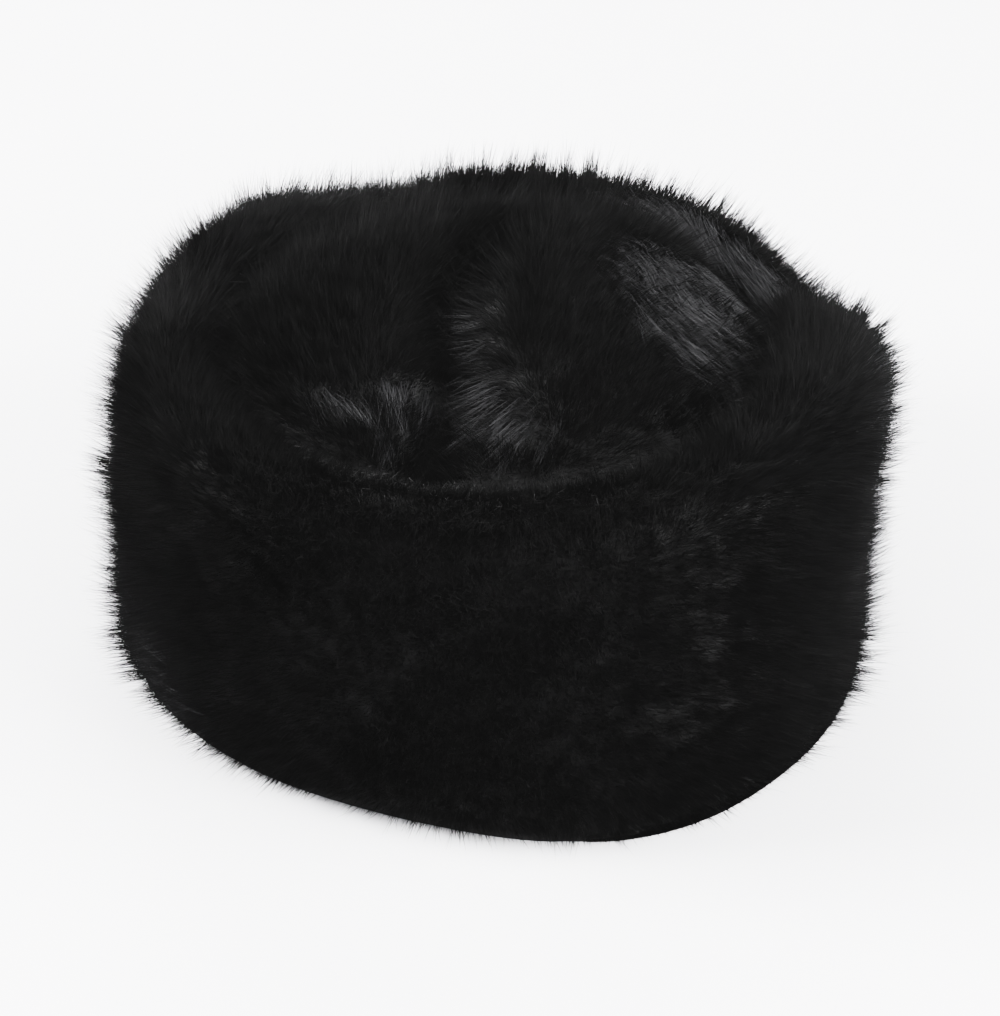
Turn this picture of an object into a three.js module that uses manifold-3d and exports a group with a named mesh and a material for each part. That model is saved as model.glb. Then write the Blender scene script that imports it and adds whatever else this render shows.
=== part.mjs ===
// Rabbit fur hat: a round soft winter hat of two crown pelts, sewn together along a seam that
// runs front to back, inside a deep fur cuff. It stands on its cuff, as it would on a table.
// Millimetres, +Z up, front towards -Y. The origin is under the middle of its box, on the table.
// A pelt is one solid: its hide, the dense underfur on it, and the locks of the longer fur.
import * as THREE from "three";
import { mergeVertices } from "three/addons/utils/BufferGeometryUtils.js";
import Module from "manifold-3d";

const wasm = await Module();
wasm.setup();

// Head opening, an oval of 58 cm round, and the hide round it
const HEAD_HALF_WIDTH = 89;
const HEAD_HALF_DEPTH = 95;
const HIDE = 2;
const GAP = 0.35;

// Crown
const CROWN_TOP = 129;
const CROWN_FOOT = 2;
const CROWN_FULLNESS = 2.2; // exponent of the dome: 2 is a sphere, and more is boxier
const HOLLOW_WALL_TOP = 60;
const HOLLOW_TOP = 105;
const HOLLOW_FULLNESS = 2.4;
const VALLEY_DEPTH = 14; // from the cuff's crest down to where crown and cuff meet

// Seam of the crown
const SEAM_SHIFT = -10;
const SEAM_SWAY = 5;
const SEAM_SWAY_LENGTH = 140;
const SEAM_CUT = 0.4;
const GROOVE_DEEP_FRONT = 13;
const GROOVE_DEEP_BACK = 5;
const GROOVE_WIDE = 11;
const VALLEY_FADE = 6; // power of the ring by which the seam's groove runs out in the valley

// Cuff
const CREST_INSET = 9; // how far below its crest the cuff's inner edge begins to lean on the crown
const CREST_CLEAR = 1.3;
const BELLY_RISE = 0.36; // shares of the way up the outside, from foot to crest
const SHOULDER_RISE = 0.66;
const BELLY_HEIGHT = 0.42; // shares of the crest's height
const SHOULDER_HEIGHT = 0.78;
const CREST_SHARE = 0.5; // where the crest lies between the crown and the shoulder

// The cuff's outside, a row for each section round the hat. around is in degrees from the right,
// through the back; foot, belly and shoulder are distances from the hat's middle.
const CUFF_SECTIONS = [
  { around: 0, foot: 128, belly: 127, shoulder: 130, crest: 123 },
  { around: 30, foot: 127, belly: 127, shoulder: 121, crest: 102 },
  { around: 60, foot: 124, belly: 131, shoulder: 127, crest: 106 },
  { around: 90, foot: 124, belly: 134, shoulder: 133, crest: 104 },
  { around: 120, foot: 124, belly: 133, shoulder: 132, crest: 102 },
  { around: 150, foot: 126, belly: 131, shoulder: 132, crest: 114 },
  { around: 180, foot: 130, belly: 129, shoulder: 127, crest: 115 },
  { around: 210, foot: 130, belly: 133, shoulder: 129, crest: 116 },
  { around: 240, foot: 125, belly: 132, shoulder: 131, crest: 118 },
  { around: 270, foot: 124, belly: 132, shoulder: 132, crest: 120 },
  { around: 300, foot: 135, belly: 132, shoulder: 131, crest: 120 },
  { around: 330, foot: 133, belly: 129, shoulder: 127, crest: 120 },
];

// Dents (minus) and lumps (plus) of the cuff's pile, each a soft round patch
const CUFF_DENTS = [
  { around: 352, height: 52, wide: 30, tall: 24, deep: -4 },
  { around: 255, height: 20, wide: 34, tall: 22, deep: -3 },
  { around: 108, height: 98, wide: 20, tall: 22, deep: 4 },
  { around: 308, height: 30, wide: 30, tall: 26, deep: 3 },
  { around: 190, height: 42, wide: 34, tall: 16, deep: -3 },
];

// Locks of the longer fur. A row on the cuff goes by its rise from foot to crest, and one on the
// crown by its ring from the top to the valley. Each lock stands out from the pile and leans.
const CUFF_LOCK_ROWS = [
  { rise: 0.1, count: 26, wide: 27, stand: 4, lean: 9 },
  { rise: 0.27, count: 28, wide: 27, stand: 5, lean: 12 },
  { rise: 0.45, count: 28, wide: 27, stand: 5, lean: 13 },
  { rise: 0.63, count: 28, wide: 27, stand: 5, lean: 12 },
  { rise: 0.81, count: 26, wide: 26, stand: 5, lean: 10 },
  { rise: 0.98, count: 22, wide: 24, stand: 4, lean: 9 },
];
const CROWN_LOCK_RINGS = [
  { ring: 0.28, count: 6, wide: 26, stand: 2, lean: 14 },
  { ring: 0.5, count: 11, wide: 26, stand: 3, lean: 14 },
  { ring: 0.71, count: 15, wide: 26, stand: 3, lean: 12 },
];
const LOCK_SIDES = 4;
const LOCK_SINK = 6;
const LOCK_FLATNESS = 0.45;
const LOCK_NECK = { along: 0.6, share: 0.7 };
const LOCK_SCATTER = 0.3; // share of the space between locks by which one may be off its place
const LOCK_SWAY = 0.5;
const LOCK_WIDTH_SCATTER = 0.2;
const CROWN_NAP_FORWARD = -0.6; // along Y, for each unit sideways from the seam
const SEAM_CLEAR = 15; // locks keep this far from the seam
const LOWEST_LOCK = 1.5;

const AROUND_STEPS = 54;
const CUFF_RISE_STEPS = 12;
const DOME_STEPS = 9;
const HOLLOW_STEPS = 6;
const INNER_CREST_STEPS = 3;
const SEAM_STEPS = 40;
const MERGE_WITHIN = 1e-4;

const FUR_BLACK = 0x0d0d0f;

const radians = THREE.MathUtils.degToRad;

// A repeatable scatter between -1 and 1 for a numbered lock
function scatter(seed) {
  const wave = Math.sin(seed * 127.1 + 11.7) * 43758.5453;
  return 2 * (wave - Math.floor(wave)) - 1;
}

// Distance from the middle to an oval of the given half width and half depth
function oval(around, halfWidth, halfDepth) {
  const a = radians(around);
  return 1 / Math.hypot(Math.cos(a) / halfWidth, Math.sin(a) / halfDepth);
}

const headEdge = (around) => oval(around, HEAD_HALF_WIDTH, HEAD_HALF_DEPTH);
const hideEdge = (around) => oval(around, HEAD_HALF_WIDTH + HIDE, HEAD_HALF_DEPTH + HIDE);

// One column of the section table at any angle, by a smooth closed curve through its rows
function sectionValue(column, around) {
  const count = CUFF_SECTIONS.length;
  const place = (((around % 360) + 360) % 360) / (360 / count);
  const row = Math.floor(place);
  const u = place - row;
  const [a, b, c, d] = [-1, 0, 1, 2].map(
    (k) => CUFF_SECTIONS[(row + k + count) % count][column],
  );
  return (
    b +
    0.5 * u * (c - a + u * (2 * a - 5 * b + 4 * c - d + u * (3 * (b - c) + d - a)))
  );
}

// Sum of the dents at one place of the cuff's outside
function dentAt(around, height) {
  let sum = 0;
  for (const dent of CUFF_DENTS) {
    const turn = ((around - dent.around + 540) % 360) - 180;
    const side = (radians(turn) * 130) / dent.wide;
    const up = (height - dent.height) / dent.tall;
    sum += dent.deep * Math.exp(-side * side - up * up);
  }
  return sum;
}

const valleyHeight = (around) => sectionValue("crest", around) - VALLEY_DEPTH;

// The dome's half width at a height, as a share of its width in the valley
function domeShare(around, height) {
  const low = valleyHeight(around);
  const up = Math.max(0, (height - low) / (CROWN_TOP - low));
  return (1 - up ** CROWN_FULLNESS) ** (1 / CROWN_FULLNESS);
}

// The cuff's outside: rise goes from 0 at the foot to 1 at the crest
function cuffOutside(around, rise) {
  const foot = sectionValue("foot", around);
  const belly = sectionValue("belly", around);
  const shoulder = sectionValue("shoulder", around);
  const crest = sectionValue("crest", around);
  const hide = hideEdge(around);
  const crestMiddle = hide + CREST_SHARE * (shoulder - hide);
  let radius;
  let height;
  if (rise < BELLY_RISE) {
    const turn = ((rise / BELLY_RISE) * Math.PI) / 2;
    radius = foot + (belly - foot) * Math.sin(turn);
    height = BELLY_HEIGHT * crest * (1 - Math.cos(turn));
  } else if (rise < SHOULDER_RISE) {
    const up = (rise - BELLY_RISE) / (SHOULDER_RISE - BELLY_RISE);
    radius = belly + (shoulder - belly) * THREE.MathUtils.smoothstep(up, 0, 1);
    height = crest * (BELLY_HEIGHT + (SHOULDER_HEIGHT - BELLY_HEIGHT) * up);
  } else {
    const turn = (((rise - SHOULDER_RISE) / (1 - SHOULDER_RISE)) * Math.PI) / 2;
    radius = shoulder + (crestMiddle - shoulder) * (1 - Math.cos(turn));
    height = crest * (SHOULDER_HEIGHT + (1 - SHOULDER_HEIGHT) * Math.sin(turn));
  }
  return { radius: radius + dentAt(around, height), height };
}

// The cuff's whole section at one angle, closed, starting where its foot meets the crown
function cuffSection(around) {
  const crest = sectionValue("crest", around);
  const hide = hideEdge(around) + GAP;
  const points = [{ radius: hide, height: 0 }];
  for (let k = 0; k <= CUFF_RISE_STEPS; k++)
    points.push(cuffOutside(around, k / CUFF_RISE_STEPS));
  const top = points[points.length - 1];
  const edgeHeight = crest - CREST_INSET;
  const leaning = (height) =>
    hideEdge(around) * domeShare(around, height) + CREST_CLEAR;
  const edge = leaning(edgeHeight);
  for (let k = 1; k <= INNER_CREST_STEPS; k++) {
    const turn = ((k / INNER_CREST_STEPS) * Math.PI) / 2;
    points.push({
      radius: top.radius + (edge - top.radius) * Math.sin(turn),
      height: crest - CREST_INSET * (1 - Math.cos(turn)),
    });
  }
  const middle = (edgeHeight + valleyHeight(around)) / 2;
  points.push({ radius: leaning(middle), height: middle });
  points.push({ radius: hide, height: valleyHeight(around) - CREST_CLEAR });
  return points;
}

const seamAt = (y) =>
  SEAM_SHIFT - SEAM_SWAY * Math.cos((y / SEAM_SWAY_LENGTH) * 2 * Math.PI);

// How far the pile sinks into the seam at one place of the crown
function grooveAt(x, y) {
  const back = THREE.MathUtils.clamp(y / (2 * HEAD_HALF_DEPTH) + 0.5, 0, 1);
  const deep = THREE.MathUtils.lerp(GROOVE_DEEP_FRONT, GROOVE_DEEP_BACK, back);
  const side = (x - seamAt(y)) / GROOVE_WIDE;
  return deep * Math.exp(-side * side);
}

// The crown's outside: ring goes from 0 at the top to 1 in the valley
function crownOutside(around, ring) {
  const radius = hideEdge(around) * ring;
  const low = valleyHeight(around);
  const dome = (1 - ring ** CROWN_FULLNESS) ** (1 / CROWN_FULLNESS);
  const x = radius * Math.cos(radians(around));
  const y = radius * Math.sin(radians(around));
  const groove = grooveAt(x, y) * (1 - ring ** VALLEY_FADE);
  return { radius, height: Math.max(low, low + (CROWN_TOP - low) * dome - groove) };
}

// The crown's whole section at one angle, from the middle of its top down and round to the
// middle of the hollow
function crownSection(around) {
  const points = [];
  for (let k = 1; k <= DOME_STEPS; k++) {
    const ring = Math.sin(((k / DOME_STEPS) * Math.PI) / 2);
    points.push(crownOutside(around, ring));
  }
  points.push({ radius: hideEdge(around), height: CROWN_FOOT });
  points.push({ radius: headEdge(around), height: CROWN_FOOT });
  for (let k = 0; k < HOLLOW_STEPS; k++) {
    const ring = Math.cos(((k / HOLLOW_STEPS) * Math.PI) / 2);
    const dome = (1 - ring ** HOLLOW_FULLNESS) ** (1 / HOLLOW_FULLNESS);
    points.push({
      radius: headEdge(around) * ring,
      height: HOLLOW_WALL_TOP + (HOLLOW_TOP - HOLLOW_WALL_TOP) * dome,
    });
  }
  return points;
}

// A closed surface through the same number of section points at each step round the hat. With
// poles, it starts and ends on the axis at the two heights; without, each section is a loop.
function wrap(section, poles) {
  const sections = [];
  for (let k = 0; k < AROUND_STEPS; k++) {
    const around = (k * 360) / AROUND_STEPS;
    const [c, s] = [Math.cos(radians(around)), Math.sin(radians(around))];
    sections.push(
      section(around).map((p) => [p.radius * c, p.radius * s, p.height]),
    );
  }
  const length = sections[0].length;
  const positions = sections.flat(2);
  const indices = [];
  const at = (k, i) => (k % AROUND_STEPS) * length + (i % length);
  for (let k = 0; k < AROUND_STEPS; k++) {
    for (let i = 0; i < (poles ? length - 1 : length); i++) {
      const [a, b, c, d] = [at(k, i), at(k + 1, i), at(k + 1, i + 1), at(k, i + 1)];
      indices.push(a, b, c, a, c, d);
    }
  }
  if (poles) {
    const [first, last] = [positions.length / 3, positions.length / 3 + 1];
    positions.push(0, 0, poles.start, 0, 0, poles.end);
    for (let k = 0; k < AROUND_STEPS; k++) {
      indices.push(first, at(k + 1, 0), at(k, 0));
      indices.push(last, at(k, length - 1), at(k + 1, length - 1));
    }
  }
  const geometry = new THREE.BufferGeometry();
  geometry.setAttribute("position", new THREE.Float32BufferAttribute(positions, 3));
  geometry.setIndex(indices);
  return geometry;
}

// A closed geometry as a solid that can be joined and cut, turned right side out if need be
function solidOf(geometry) {
  const merged = mergeVertices(geometry, MERGE_WITHIN);
  const triVerts = new Uint32Array(merged.index.array);
  const vertProperties = merged.attributes.position.array;
  const solid = new wasm.Manifold(new wasm.Mesh({ numProp: 3, vertProperties, triVerts }));
  if (solid.volume() > 0) return solid;
  for (let i = 0; i < triVerts.length; i += 3)
    [triVerts[i + 1], triVerts[i + 2]] = [triVerts[i + 2], triVerts[i + 1]];
  return new wasm.Manifold(new wasm.Mesh({ numProp: 3, vertProperties, triVerts }));
}

function geometryOf(solid) {
  const mesh = solid.getMesh();
  const geometry = new THREE.BufferGeometry();
  geometry.setAttribute("position", new THREE.BufferAttribute(mesh.vertProperties, 3));
  geometry.setIndex(new THREE.BufferAttribute(mesh.triVerts, 1));
  return geometry;
}

// A place on a surface, with its outward normal and the way on along the surface
function placeOn(surface, around, share, step) {
  const at = (a, s) => {
    const p = surface(a, s);
    return new THREE.Vector3(
      p.radius * Math.cos(radians(a)),
      p.radius * Math.sin(radians(a)),
      p.height,
    );
  };
  const point = at(around, share);
  const side = at(around + 2, share).sub(point);
  const onward = at(around, share + step).sub(point).normalize();
  const normal = side.clone().cross(onward).normalize();
  if (step < 0) normal.negate();
  return { point, normal, onward };
}

// One lock: a flattened spike that starts inside the pile and bends over towards its lean
function lockSolid({ point, normal }, lean, wide, stand) {
  const side = normal.clone().cross(lean).normalize();
  const spine = (t) =>
    point
      .clone()
      .addScaledVector(normal, -LOCK_SINK + (LOCK_SINK + stand) * t)
      .addScaledVector(lean, t * t);
  const positions = [];
  const addCorner = ({ x, y, z }) => positions.push(x, y, Math.max(LOWEST_LOCK, z));
  for (const { along, share } of [{ along: 0, share: 1 }, LOCK_NECK]) {
    const forward = normal
      .clone()
      .multiplyScalar(LOCK_SINK + stand)
      .addScaledVector(lean, 2 * along);
    const across = forward.cross(side).normalize();
    for (let k = 0; k < LOCK_SIDES; k++) {
      const turn = (k / LOCK_SIDES) * 2 * Math.PI;
      addCorner(
        spine(along)
          .addScaledVector(side, (wide / 2) * share * Math.cos(turn))
          .addScaledVector(across, (wide / 2) * share * LOCK_FLATNESS * Math.sin(turn)),
      );
    }
  }
  addCorner(spine(1));
  const indices = [];
  const apex = 2 * LOCK_SIDES;
  for (let k = 0; k < LOCK_SIDES; k++) {
    const next = (k + 1) % LOCK_SIDES;
    indices.push(k, next, LOCK_SIDES + next, k, LOCK_SIDES + next, LOCK_SIDES + k);
    indices.push(LOCK_SIDES + k, LOCK_SIDES + next, apex);
    if (k > 0 && k < LOCK_SIDES - 1) indices.push(0, k + 1, k);
  }
  const geometry = new THREE.BufferGeometry();
  geometry.setAttribute("position", new THREE.Float32BufferAttribute(positions, 3));
  geometry.setIndex(indices);
  return solidOf(geometry);
}

// Cuff: the band with its rows of locks, which lean upwards and over the crest
function makeCuff() {
  let cuff = solidOf(wrap(cuffSection));
  CUFF_LOCK_ROWS.forEach((row, r) => {
    for (let k = 0; k < row.count; k++) {
      const seed = 100 * r + k;
      const around = (360 / row.count) * (k + (r % 2) / 2 + LOCK_SCATTER * scatter(seed));
      const place = placeOn(cuffOutside, around, row.rise, 0.01);
      const sideways = place.normal.clone().cross(place.onward);
      const lean = place.onward
        .clone()
        .addScaledVector(sideways, LOCK_SWAY * scatter(seed + 0.6))
        .multiplyScalar(row.lean);
      const wide = row.wide * (1 + LOCK_WIDTH_SCATTER * scatter(seed + 0.8));
      cuff = cuff.add(lockSolid(place, lean, wide, row.stand));
    }
  });
  return cuff;
}

// Crown: one dome cut into two pelts along the seam, each with locks that lean away from it
function makeCrownPelts() {
  const poles = { start: CROWN_TOP - grooveAt(0, 0), end: HOLLOW_TOP };
  const dome = solidOf(wrap(crownSection, poles));
  const reach = 2 * HEAD_HALF_DEPTH;
  const route = new THREE.Shape();
  const edge = (side) =>
    Array.from({ length: SEAM_STEPS + 1 }, (_, k) => {
      const y = -reach + (2 * reach * k) / SEAM_STEPS;
      return new THREE.Vector2(seamAt(y) + (side * SEAM_CUT) / 2, y);
    });
  route.setFromPoints([...edge(1), ...edge(-1).reverse()]);
  const cutGeometry = new THREE.ExtrudeGeometry(route, {
    depth: 2 * CROWN_TOP,
    bevelEnabled: false,
  }).translate(0, 0, -CROWN_TOP / 2);
  cutGeometry.deleteAttribute("normal");
  cutGeometry.deleteAttribute("uv");
  const halves = dome.subtract(solidOf(cutGeometry)).decompose();
  halves.sort((a, b) => a.boundingBox().min[0] - b.boundingBox().min[0]);
  const pelts = { left: halves[0], right: halves[1] };
  CROWN_LOCK_RINGS.forEach((row, r) => {
    for (let k = 0; k < row.count; k++) {
      const seed = 1000 + 100 * r + k;
      const around = (360 / row.count) * (k + LOCK_SCATTER * scatter(seed));
      const place = placeOn(crownOutside, around, row.ring, -0.02);
      const fromSeam = place.point.x - seamAt(place.point.y);
      if (Math.abs(fromSeam) < SEAM_CLEAR) continue;
      const lean = new THREE.Vector3(Math.sign(fromSeam), CROWN_NAP_FORWARD, 0)
        .projectOnPlane(place.normal)
        .normalize()
        .multiplyScalar(row.lean);
      const side = fromSeam < 0 ? "left" : "right";
      const wide = row.wide * (1 + LOCK_WIDTH_SCATTER * scatter(seed + 0.8));
      pelts[side] = pelts[side].add(lockSolid(place, lean, wide, row.stand));
    }
  });
  return pelts;
}

function peltMesh(name, solid) {
  const material = new THREE.MeshStandardMaterial({
    color: FUR_BLACK,
    roughness: 0.65,
    metalness: 0,
    flatShading: true,
  });
  const mesh = new THREE.Mesh(geometryOf(solid), material);
  mesh.name = name;
  return mesh;
}

const hat = new THREE.Group();
const pelts = makeCrownPelts();
hat.add(peltMesh("crown_left_pelt", pelts.left));
hat.add(peltMesh("crown_right_pelt", pelts.right));
hat.add(peltMesh("fur_cuff", makeCuff()));

// The pile is fuller on one side than the other, so the hat is moved to centre its box
const middle = new THREE.Box3().setFromObject(hat).getCenter(new THREE.Vector3());
hat.position.set(-middle.x, -middle.y, 0);

export default hat;
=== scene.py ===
"""Black rabbit fur hat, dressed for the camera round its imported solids.

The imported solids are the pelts' dense form. Here each becomes a dark bed of underfur, in the crown
with a hide under it, and hair grows from the beds, strand by strand, in clumps that lie along the
nap. Sizes are in millimetres, as in the part's source, and turn to metres where a mesh is made.
"""

import bmesh
import bpy
import numpy as np
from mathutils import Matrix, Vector


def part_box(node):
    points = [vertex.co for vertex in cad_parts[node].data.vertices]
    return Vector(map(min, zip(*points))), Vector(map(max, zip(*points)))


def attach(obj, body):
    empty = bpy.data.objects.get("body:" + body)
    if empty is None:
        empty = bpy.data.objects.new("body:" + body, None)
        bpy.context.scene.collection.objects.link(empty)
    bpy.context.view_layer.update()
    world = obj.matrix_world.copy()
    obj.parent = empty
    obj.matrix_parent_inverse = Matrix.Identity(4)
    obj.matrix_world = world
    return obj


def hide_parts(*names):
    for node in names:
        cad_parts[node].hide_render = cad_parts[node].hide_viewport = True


MM = 0.001
TINY = 1e-9  # keeps a division or a sum of weights from being by or of nothing
MERGE_DISTANCE = 1e-6  # doubles in a closed skin, in metres
FLAT_DISTANCE = 1e-7  # and edges of faces without area

# Head opening and crown
HEAD_HALF_WIDTH = 89.0
HEAD_HALF_DEPTH = 95.0
HIDE = 2.0
GAP = 0.35
CROWN_TOP = 129.0
CROWN_FOOT = 2.0
CROWN_FULLNESS = 2.2
HOLLOW_WALL_TOP = 60.0
HOLLOW_TOP = 105.0
HOLLOW_FULLNESS = 2.4
VALLEY_DEPTH = 14.0
HIDE_SKIN = 1.0  # the tanned skin alone, inside the crown
BED_CLEAR = 0.1  # between that skin and the bed of underfur on it
CROWN_WALL_HEIGHTS = (55.0, 30.0, CROWN_FOOT)
CROWN_SIDES = {"left": -1, "right": 1}

# Seam of the crown
SEAM_SHIFT = -10.0
SEAM_SWAY = 5.0
SEAM_SWAY_LENGTH = 140.0
SEAM_GAP = 0.2
GROOVE_DEEP_FRONT = 13.0
GROOVE_DEEP_BACK = 5.0
GROOVE_WIDE = 11.0
VALLEY_FADE = 6

# Cuff
CREST_INSET = 9.0
CREST_CLEAR = 1.3
BELLY_RISE = 0.36
SHOULDER_RISE = 0.66
BELLY_HEIGHT = 0.42
SHOULDER_HEIGHT = 0.78
CREST_SHARE = 0.5
EDGE_RISE = 1.2  # rise 1 is the crest, 1.2 its inner edge and 1.4 the valley
VALLEY_RISE = 1.4

# The cuff's outside, a row for each 30 degrees round the hat from its right, through its back:
# distances from the middle, then the crest's height
CUFF_COLUMNS = ("foot", "belly", "shoulder", "crest")
CUFF_SECTIONS = (
    (128, 127, 130, 123),
    (127, 127, 121, 102),
    (124, 131, 127, 106),
    (124, 134, 133, 104),
    (124, 133, 132, 102),
    (126, 131, 132, 114),
    (130, 129, 127, 115),
    (130, 133, 129, 116),
    (125, 132, 131, 118),
    (124, 132, 132, 120),
    (135, 132, 131, 120),
    (133, 129, 127, 120),
)

# Dents and lumps of the cuff's pile: around, height, how wide, how tall and how deep
CUFF_DENTS = (
    (352, 52, 30, 24, -4),
    (255, 20, 34, 22, -3),
    (108, 98, 20, 22, 4),
    (308, 30, 30, 26, 3),
    (190, 42, 34, 16, -3),
)
DENT_RADIUS = 130.0

# Bed of underfur that the hair grows from
FUR_BED_DEPTH = 4.0  # from the pelts' dense outside down to the bed
BED_WALL_SHARES = (1.0, 0.66, 0.33, 0.0)  # of the valley's height, down the cuff's inner wall
BED_STEPS_AROUND = 180
BED_STEPS_UP = 63
CROWN_STEPS_ALONG = 90
CROWN_STEPS_ACROSS = 33

# The nap of the cuff, which way its hair lies at places of its outside: around, rise, and the
# turn in degrees, where 0 runs anticlockwise round the hat as seen from above and 90 runs up
CUFF_NAP = (
    (278, 0.06, -90),
    (240, 0.06, 215),
    (320, 0.06, -40),
    (200, 0.08, 190),
    (278, 0.45, 90),
    (256, 0.45, 100),
    (300, 0.45, 80),
    (278, 0.20, 90),
    (236, 0.45, 130),
    (225, 0.25, 170),
    (190, 0.45, 135),
    (205, 0.78, 120),
    (170, 0.75, 120),
    (228, 0.78, 110),
    (250, 0.80, 90),
    (278, 0.80, 90),
    (304, 0.80, 80),
    (205, 1.08, 50),
    (222, 1.08, 0),
    (240, 1.08, -32),
    (255, 1.08, -50),
    (270, 1.08, -79),
    (285, 1.08, -94),
    (300, 1.08, -100),
    (316, 1.08, -100),
    (180, 1.08, 120),
    (150, 1.05, 178),
    (125, 1.05, 178),
    (100, 1.00, 130),
    (78, 1.06, 138),
    (60, 1.06, 156),
    (44, 1.06, 172),
    (30, 1.06, 186),
    (14, 1.04, 200),
    (356, 1.00, 0),
    (335, 1.05, -95),
    (342, 0.88, 0),
    (345, 0.62, -2),
    (340, 0.30, 5),
    (322, 0.40, 40),
    (312, 0.12, -30),
    (325, 0.75, 60),
    (5, 0.40, 5),
    (10, 0.75, 10),
    (50, 0.75, 80),
    (45, 0.35, 70),
    (90, 0.70, 95),
    (90, 0.30, 90),
    (135, 0.70, 120),
    (135, 0.30, 110),
)
NAP_REACH_AROUND = 42.0
NAP_REACH_UP = 30.0
CUFF_GIRTH_RADIUS = 130.0  # turns degrees round the hat to mm along the cuff
CUFF_RISE_LENGTH = 165.0  # mm along the cuff for each unit of rise

# The nap of the crown: place across and along the hat, and heading in degrees seen from above,
# where 0 is to the right and 90 to the back
CROWN_NAP = (
    (6, 62, -34),
    (2, 34, -45),
    (-6, 8, 200),
    (-5, -16, 184),
    (2, -36, 212),
    (12, -58, 230),
    (20, -76, 236),
    (26, -96, -79),
    (44, -84, -70),
    (46, -60, -25),
    (34, -40, -28),
    (22, -10, -32),
    (24, 20, -40),
    (30, 60, -50),
    (50, 40, -53),
    (50, 5, -53),
    (70, 0, -56),
    (72, -28, -50),
    (64, -50, -40),
    (45, 75, -53),
    (65, 55, -53),
    (-12, -56, -92),
    (-24, -58, -64),
    (-36, -74, -42),
    (-50, -66, -50),
    (-62, -38, -50),
    (-70, -15, 5),
    (-68, 15, 48),
    (-45, -15, -45),
    (-28, 5, -50),
    (-24, 45, -30),
    (-46, 40, 5),
    (-50, 60, 32),
    (-40, 78, 38),
)
CROWN_NAP_REACH = 18.0  # how far in mm a row tells, as the cuff's reaches do

# Hair of the pelts. where is all over, only where the fur stands or only where it lies combed.
# rate is hairs to the square centimetre, in clumps of so many. length in mm, and lift, the angles
# to the skin at root and tip, are for hair that stands and then for hair that lies down. level is
# how far the tip turns level whatever the slope. crowd is how far a clump's hairs draw together
# towards the tip, stray how far in mm one leaves its clump, and twist how far its flat side turns
# from the skin, in degrees. points is how many a strand has, and slot is its material's.
UNDERFUR = {
    "where": "all",
    "rate": 340,
    "clump": 8,
    "clump_radius": 3.0,
    "length": (8.0, 7.0),
    "lift": ((82, 74), (22, 22)),
    "level": 0,
    "width": 0.32,
    "crowd": 0.2,
    "stray": 1.0,
    "twist": 90,
    "points": 2,
    "slot": 0,
}
GUARD_HAIR = {
    "where": "standing",
    "rate": 54,
    "clump": 7,
    "clump_radius": 1.6,
    "length": (15.0, 15.0),
    "lift": ((86, 72), (50, 10)),
    "level": 0,
    "width": 0.22,
    "crowd": 0.8,
    "stray": 0.8,
    "twist": 60,
    "points": 3,
    "slot": 1,
}
COMBED_HAIR = {
    "where": "combed",
    "rate": 195,
    "clump": 5,
    "clump_radius": 1.8,
    "length": (18.0, 18.0),
    "lift": ((60, -5), (60, -5)),
    "level": 0.95,
    "width": 0.2,
    "crowd": 0.6,
    "stray": 0.7,
    "twist": 25,
    "points": 4,
    "slot": 2,
}
LONG_HAIR = {
    "where": "standing",
    "rate": 8,
    "clump": 3,
    "clump_radius": 0.8,
    "length": (19.0, 19.0),
    "lift": ((84, 66), (56, 4)),
    "level": 0,
    "width": 0.14,
    "crowd": 0.6,
    "stray": 1.4,
    "twist": 50,
    "points": 3,
    "slot": 1,
}
HAIR_KINDS = (UNDERFUR, GUARD_HAIR, COMBED_HAIR, LONG_HAIR)
UNDERFUR_THINNED = 0.5  # how much thinner underfur grows where guard hairs lie combed over it
VALLEY_THINNED = 0.4  # and all hair in the valley

# Where guard hairs lie combed together and gleam. On the crown: place across and along the hat,
# its reach both ways, the turn of that reach from the right, and how much it gleams. On the cuff:
# around and rise, its reach in mm round and up the hat, the turn of that reach, and how much.
CROWN_GLEAMS = (
    (54, 25, 46, 27, -64, 0.86),
    (72, 40, 34, 15, -55, 1.0),
    (60, -12, 20, 13, -50, 0.7),
    (-7, 8, 10, 5, -80, 0.35),
    (-4, -16, 11, 7, -80, 0.5),
    (2, -35, 9, 8, -80, 0.6),
    (9, -50, 11, 9, 0, 0.6),
    (15, -62, 14, 9, 10, 0.66),
    (22, -71, 12, 7, 10, 0.65),
    (-12, -53, 8, 9, 0, 1.0),
    (-23, -56, 9, 8, 0, 0.85),
    (-47, -60, 8, 4, -27, 0.8),
    (-36, -66, 12, 4, -27, 1.0),
    (-21, -74, 8, 3, -15, 0.8),
    (24, -88, 18, 3, 0, 0.3),
)
CUFF_GLEAMS = (
    (66, 1.06, 46, 28, 0, 1.0),
    (42, 1.08, 28, 26, 0, 1.0),
    (28, 1.14, 14, 16, 0, 0.7),
    (125, 1.0, 50, 16, 0, 0.3),
    (358, 0.5, 26, 62, 0, 0.55),
    (222, 0.2, 24, 22, 0, 0.35),
    (203, 0.25, 20, 22, 0, 0.4),
)
GLEAM_EDGE = 1.5  # power of the squared gap in a gleam's bell: a higher one has a sharper edge

# How the hair stands: on the crown it lies down a little everywhere, and on the cuff it stands
# square to the skin, apart from its front, where it leans forwards and up
CROWN_LIE = 0.1
FRONT_AROUND = 275
FRONT_LEAN = (0.16, -0.8, 0.58)
FRONT_SHARE = 0.66  # how far it turns from square to the skin to that lean
COMBED_DIP = 0.146  # how far level combed hair dips for each unit that it runs to the front
ROOT_SINK = 1.0
LIFT_BEND = 0.7  # power of the way along a hair at which it bends from root lift to tip lift
LOWEST_HAIR = 0.4

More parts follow.
